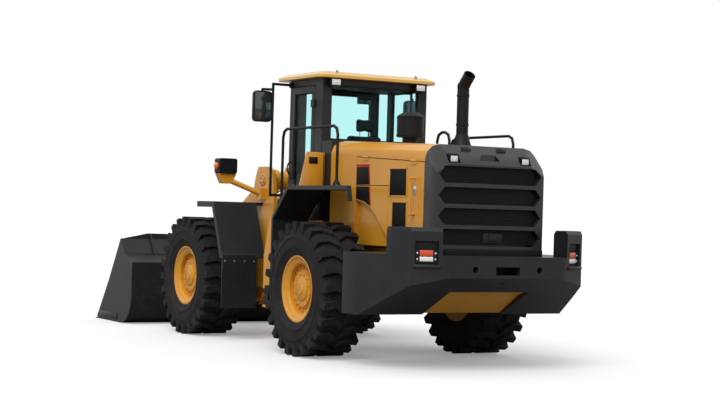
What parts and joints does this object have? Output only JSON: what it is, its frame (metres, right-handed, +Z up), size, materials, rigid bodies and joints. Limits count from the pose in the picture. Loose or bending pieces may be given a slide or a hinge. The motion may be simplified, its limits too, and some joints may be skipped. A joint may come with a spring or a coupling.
{
  "type": "wheel loader",
  "caption": "Articulated wheel loader with cab, engine hood, rear counterweight, Z-bar boom linkage and wide bucket resting on the ground.",
  "frame": {"origin": "middle of the machine's length and width on the ground it stands on", "axes": "+X forward to the bucket, +Y to the left side, +Z up"},
  "size_m": [8.67, 2.99, 3.4],
  "materials": {
    "paint": "satin",
    "dark": "satin",
    "black": "matte",
    "iron": "matte",
    "tread": "matte",
    "chrome": "polished",
    "glass": "clear",
    "lens": "clear",
    "cushion": "matte"
  },
  "bodies": {
    "rear_frame": {"rear_chassis": "paint", "rear_axle": "paint", "counterweight": "iron", "engine_block": "iron", "hood_shell": "paint", "grille_housing": "dark", "grille_mesh": "black", "exhaust_stack": "black", "precleaner": "black", "hood_rail": "black", "cab_shell": "dark", "cab_roof": "paint", "cab_glass": "glass", "seat": "cushion", "steering_console": "black", "rear_fenders": "dark", "ladders": "paint", "step_straps": "black", "handrails": "black", "side_box": "paint", "tail_lamps": "lens", "work_lamps": "black", "mirrors": "black"},
    "front_frame": {"front_chassis": "paint", "tower_plates": "paint", "front_axle": "paint", "front_fenders": "dark", "headlamp_brackets": "paint", "headlamps": "black", "indicators": "lens"},
    "boom": {"boom": "paint"},
    "bellcrank": {"bellcrank": "paint"},
    "bucket_link": {"bucket_link": "paint"},
    "tilt_barrel": {"tilt_barrel": "paint"},
    "tilt_rod": {"tilt_rod": "chrome"},
    "lift_barrels": {"lift_barrels": "paint"},
    "lift_rods": {"lift_rods": "chrome"},
    "bucket": {"bucket": "dark", "cutting_edge": "dark"},
    "steer_barrel_left": {"steer_barrel_left": "black"},
    "steer_barrel_right": {"steer_barrel_right": "black"},
    "steer_rod_left": {"steer_rod_left": "chrome"},
    "steer_rod_right": {"steer_rod_right": "chrome"},
    "hood_door_left": {"hood_door_left": "paint", "louvres_left": "black"},
    "hood_door_right": {"hood_door_right": "paint", "louvres_right": "black"},
    "cab_door": {"cab_door": "dark", "door_glass": "glass"},
    "wheel_front_left": {"tyre_front_left": "tread", "rim_front_left": "paint"},
    "wheel_front_right": {"tyre_front_right": "tread", "rim_front_right": "paint"},
    "wheel_rear_left": {"tyre_rear_left": "tread", "rim_rear_left": "paint"},
    "wheel_rear_right": {"tyre_rear_right": "tread", "rim_rear_right": "paint"}
  },
  "joints": [
    {"name": "steering", "type": "hinge", "parent": "rear_frame", "child": "front_frame", "pos_m": [-0.345, 0, 0.9], "axis": [0, 0, 1], "range_deg": [-35, 35]},
    {"name": "boom_lift", "type": "hinge", "parent": "front_frame", "child": "boom", "pos_m": [0.505, 0, 2.08], "axis": [0, -1, 0], "range_deg": [0, 80]},
    {"name": "bucket_tilt", "type": "hinge", "parent": "boom", "child": "bucket", "pos_m": [2.765, 0, 0.4], "axis": [0, 1, 0], "range_deg": [-45, 120]},
    {"name": "bellcrank_turn", "type": "hinge", "parent": "boom", "child": "bellcrank", "pos_m": [1.963, 0, 1.122], "axis": [0, 1, 0], "range_deg": [-37, 14]},
    {"name": "link_turn", "type": "hinge", "parent": "bucket", "child": "bucket_link", "pos_m": [2.857, 0, 0.749], "axis": [0, 1, 0], "range_deg": [-74, 28]},
    {"name": "tilt_barrel_turn", "type": "hinge", "parent": "front_frame", "child": "tilt_barrel", "pos_m": [0.337, 0, 2.007], "axis": [0, -1, 0], "range_deg": [-1, 72]},
    {"name": "tilt_rod_slide", "type": "slide", "parent": "tilt_barrel", "child": "tilt_rod", "axis": [0.9806, 0, -0.1962], "range_m": [-0.335, 0.13]},
    {"name": "lift_barrels_turn", "type": "hinge", "parent": "front_frame", "child": "lift_barrels", "pos_m": [0.336, 0, 1.219], "axis": [0, -1, 0], "range_deg": [-1, 56]},
    {"name": "lift_rods_slide", "type": "slide", "parent": "lift_barrels", "child": "lift_rods", "axis": [0.9987, 0, 0.0507], "range_m": [-0.005, 0.945]},
    {"name": "steer_barrel_left_turn", "type": "hinge", "parent": "rear_frame", "child": "steer_barrel_left", "pos_m": [-0.955, 0.3, 0.86], "axis": [0, 0, 1], "range_deg": [-10.6, 10.6]},
    {"name": "steer_rod_left_slide", "type": "slide", "parent": "steer_barrel_left", "child": "steer_rod_left", "axis": [1, 0, 0], "range_m": [-0.186, 0.186]},
    {"name": "steer_barrel_right_turn", "type": "hinge", "parent": "rear_frame", "child": "steer_barrel_right", "pos_m": [-0.955, -0.3, 0.86], "axis": [0, 0, 1], "range_deg": [-10.6, 10.6]},
    {"name": "steer_rod_right_slide", "type": "slide", "parent": "steer_barrel_right", "child": "steer_rod_right", "axis": [1, 0, 0], "range_m": [-0.186, 0.186]},
    {"name": "wheel_front_left_spin", "type": "hinge", "parent": "front_frame", "child": "wheel_front_left", "pos_m": [1.305, 1.095, 0.785], "axis": [0, 1, 0], "continuous": true},
    {"name": "wheel_front_right_spin", "type": "hinge", "parent": "front_frame", "child": "wheel_front_right", "pos_m": [1.305, -1.095, 0.785], "axis": [0, 1, 0], "continuous": true},
    {"name": "wheel_rear_left_spin", "type": "hinge", "parent": "rear_frame", "child": "wheel_rear_left", "pos_m": [-1.995, 1.095, 0.785], "axis": [0, 1, 0], "continuous": true},
    {"name": "wheel_rear_right_spin", "type": "hinge", "parent": "rear_frame", "child": "wheel_rear_right", "pos_m": [-1.995, -1.095, 0.785], "axis": [0, 1, 0], "continuous": true},
    {"name": "hood_door_left_lift", "type": "hinge", "parent": "rear_frame", "child": "hood_door_left", "pos_m": [-2.233, 0.745, 2.34594], "axis": [0.9987, 0, 0.051], "range_deg": [0, 70]},
    {"name": "hood_door_right_lift", "type": "hinge", "parent": "rear_frame", "child": "hood_door_right", "pos_m": [-2.233, -0.745, 2.34594], "axis": [-0.9987, 0, -0.051], "range_deg": [0, 70]},
    {"name": "cab_door_swing", "type": "hinge", "parent": "rear_frame", "child": "cab_door", "pos_m": [-1.145, 0.755, 2.4], "axis": [0, 0, 1], "range_deg": [0, 80]}
  ],
  "couplings": [
    {"joint": "bellcrank_turn", "follows": "bucket_tilt", "ratio": -0.3003},
    {"joint": "link_turn", "follows": "bucket_tilt", "ratio": -0.6081},
    {"joint": "tilt_barrel_turn", "follows": "boom_lift", "ratio": 0.8943},
    {"joint": "tilt_rod_slide", "follows": "bucket_tilt", "m_per_rad": -0.1575},
    {"joint": "lift_barrels_turn", "follows": "boom_lift", "ratio": 0.6917},
    {"joint": "lift_rods_slide", "follows": "boom_lift", "m_per_rad": 0.6711},
    {"joint": "steer_barrel_left_turn", "follows": "steering", "ratio": 0.2733},
    {"joint": "steer_rod_left_slide", "follows": "steering", "m_per_rad": -0.296},
    {"joint": "steer_barrel_right_turn", "follows": "steering", "ratio": 0.2733},
    {"joint": "steer_rod_right_slide", "follows": "steering", "m_per_rad": 0.296}
  ]
}
